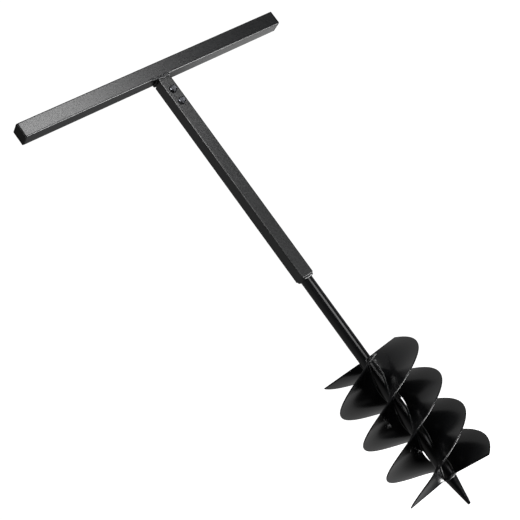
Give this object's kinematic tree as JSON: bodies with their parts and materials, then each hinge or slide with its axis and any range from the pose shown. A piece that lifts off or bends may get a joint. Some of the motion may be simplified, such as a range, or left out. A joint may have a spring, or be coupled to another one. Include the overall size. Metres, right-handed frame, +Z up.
{
  "type": "hand soil auger",
  "caption": "Hand soil auger with a T-handle bolted into a square shaft, a round stem, three helical flights and a tapered pilot point.",
  "frame": {"origin": "centre of the blunt end of the pilot point, the tool's lowest point, on the tool's axis", "axes": "+Z up the tool's axis to the handle, +X along the handle crossbar, -Y the side with the bolt heads"},
  "size_m": [0.604, 0.19, 0.982],
  "materials": {
    "handle_coat": "satin black powder coat",
    "shaft_coat": "fine-textured black powder coat",
    "stem_coat": "gloss black enamel",
    "flight_coat": "smooth satin black enamel",
    "weld_coat": "gloss black enamel over a rippled weld bead",
    "fastener_steel": "black zinc plated",
    "plug_plastic": "moulded black polyethylene"
  },
  "bodies": {
    "auger": {"crossbar_tube": "handle_coat", "crossbar_plug_right": "plug_plastic", "crossbar_plug_left": "plug_plastic", "handle_spigot": "handle_coat", "spigot_weld": "weld_coat", "shaft_tube": "shaft_coat", "stem_tube": "stem_coat", "stem_weld": "weld_coat", "pilot_point": "stem_coat", "pilot_weld": "weld_coat", "bolt_upper": "fastener_steel", "bolt_lower": "fastener_steel", "flight_1": "flight_coat", "flight_2": "flight_coat", "flight_3": "flight_coat", "flight_welds_1": "weld_coat", "flight_welds_2": "weld_coat", "flight_welds_3": "weld_coat"},
    "washer_upper": {"washer_upper": "fastener_steel"},
    "nut_upper": {"nut_upper": "fastener_steel"},
    "washer_lower": {"washer_lower": "fastener_steel"},
    "nut_lower": {"nut_lower": "fastener_steel"}
  },
  "joints": [
    {"name": "washer_upper_slide", "type": "slide", "parent": "auger", "child": "washer_upper", "axis": [0, 1, 0], "range_m": [0, 0.01005]},
    {"name": "nut_upper_turn", "type": "hinge", "parent": "washer_upper", "child": "nut_upper", "pos_m": [0, 0.019, 0.92], "axis": [0, 1, 0], "range_deg": [0, 2880]},
    {"name": "washer_lower_slide", "type": "slide", "parent": "auger", "child": "washer_lower", "axis": [0, 1, 0], "range_m": [0, 0.01005]},
    {"name": "nut_lower_turn", "type": "hinge", "parent": "washer_lower", "child": "nut_lower", "pos_m": [0, 0.019, 0.8925], "axis": [0, 1, 0], "range_deg": [0, 2880]}
  ],
  "couplings": [
    {"joint": "washer_upper_slide", "follows": "nut_upper_turn", "m_per_rad": 0.00019894},
    {"joint": "washer_lower_slide", "follows": "nut_lower_turn", "m_per_rad": 0.00019894}
  ]
}
